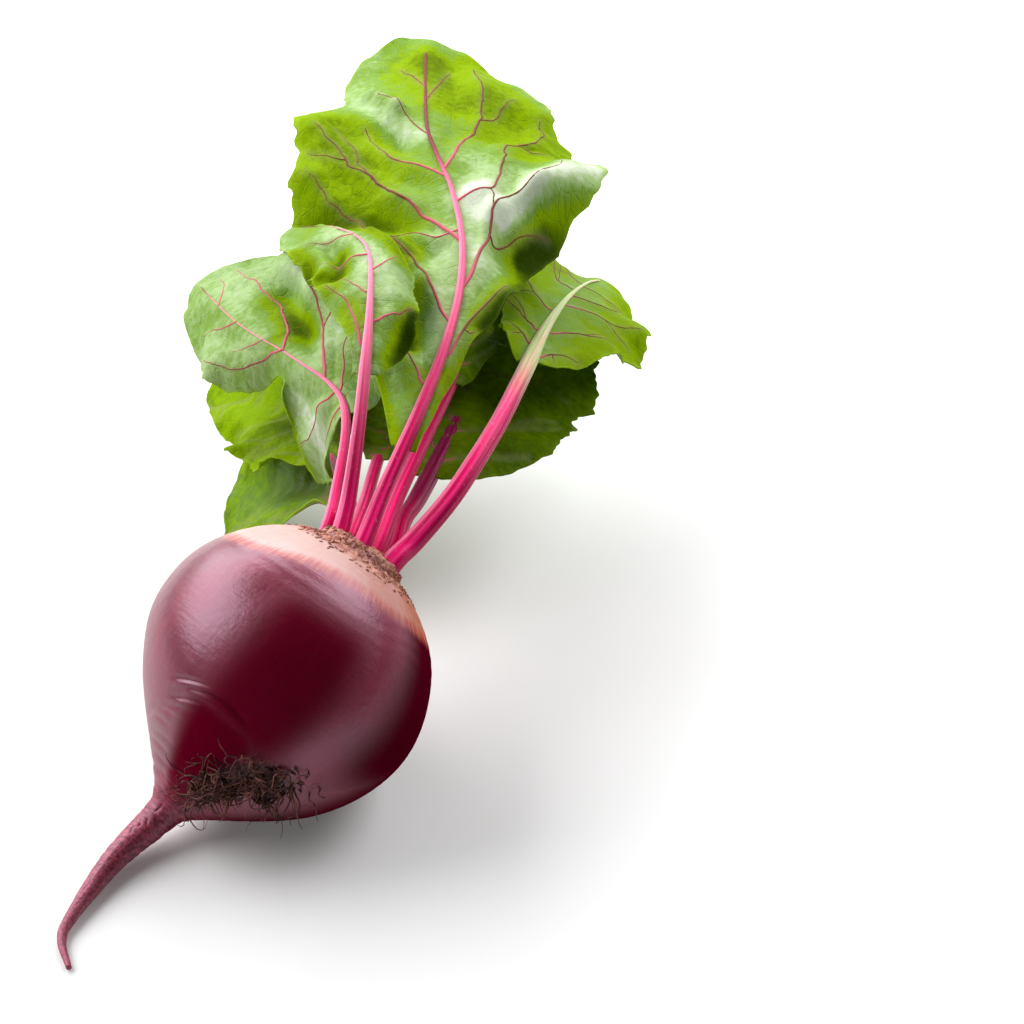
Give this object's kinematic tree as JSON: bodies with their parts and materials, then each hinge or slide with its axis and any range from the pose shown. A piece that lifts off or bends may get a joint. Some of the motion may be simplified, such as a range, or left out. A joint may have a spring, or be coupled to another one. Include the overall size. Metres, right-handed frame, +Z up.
{
  "type": "beetroot",
  "caption": "Fresh red beetroot lying on its side, with a swollen round root, a curled tapering tail, a corky crown, magenta stalks and broad wavy green leaves.",
  "frame": {"origin": "middle of the small flat under the root on which it rests", "axes": "+Z up from the surface that it lies on; the leaves spread towards +Y and the tail runs out towards -X and -Y"},
  "size_m": [0.1606, 0.3084, 0.1115],
  "materials": {
    "skin": "moist burgundy skin with a soft gloss, tan and corky at the crown",
    "stalk": "magenta, semi-gloss, finely ribbed along its length",
    "blade": "fresh green leaf, satin, puckered between magenta veins"
  },
  "bodies": {
    "root": {"taproot": "skin", "top_leaf_stalk": "stalk", "top_leaf_blade": "blade", "front_leaf_stalk": "stalk", "front_leaf_blade": "blade", "left_leaf_stalk": "stalk", "left_leaf_blade": "blade", "bright_leaf_stalk": "stalk", "bright_leaf_blade": "blade", "low_leaf_stalk": "stalk", "low_leaf_blade": "blade", "right_leaf_stalk": "stalk", "right_leaf_blade": "blade", "inner_leaf_stalk": "stalk", "inner_leaf_blade": "blade", "back_leaf_stalk": "stalk", "back_leaf_blade": "blade", "young_leaf_stalk": "stalk", "young_leaf_blade": "blade"}
  },
  "joints": []
}
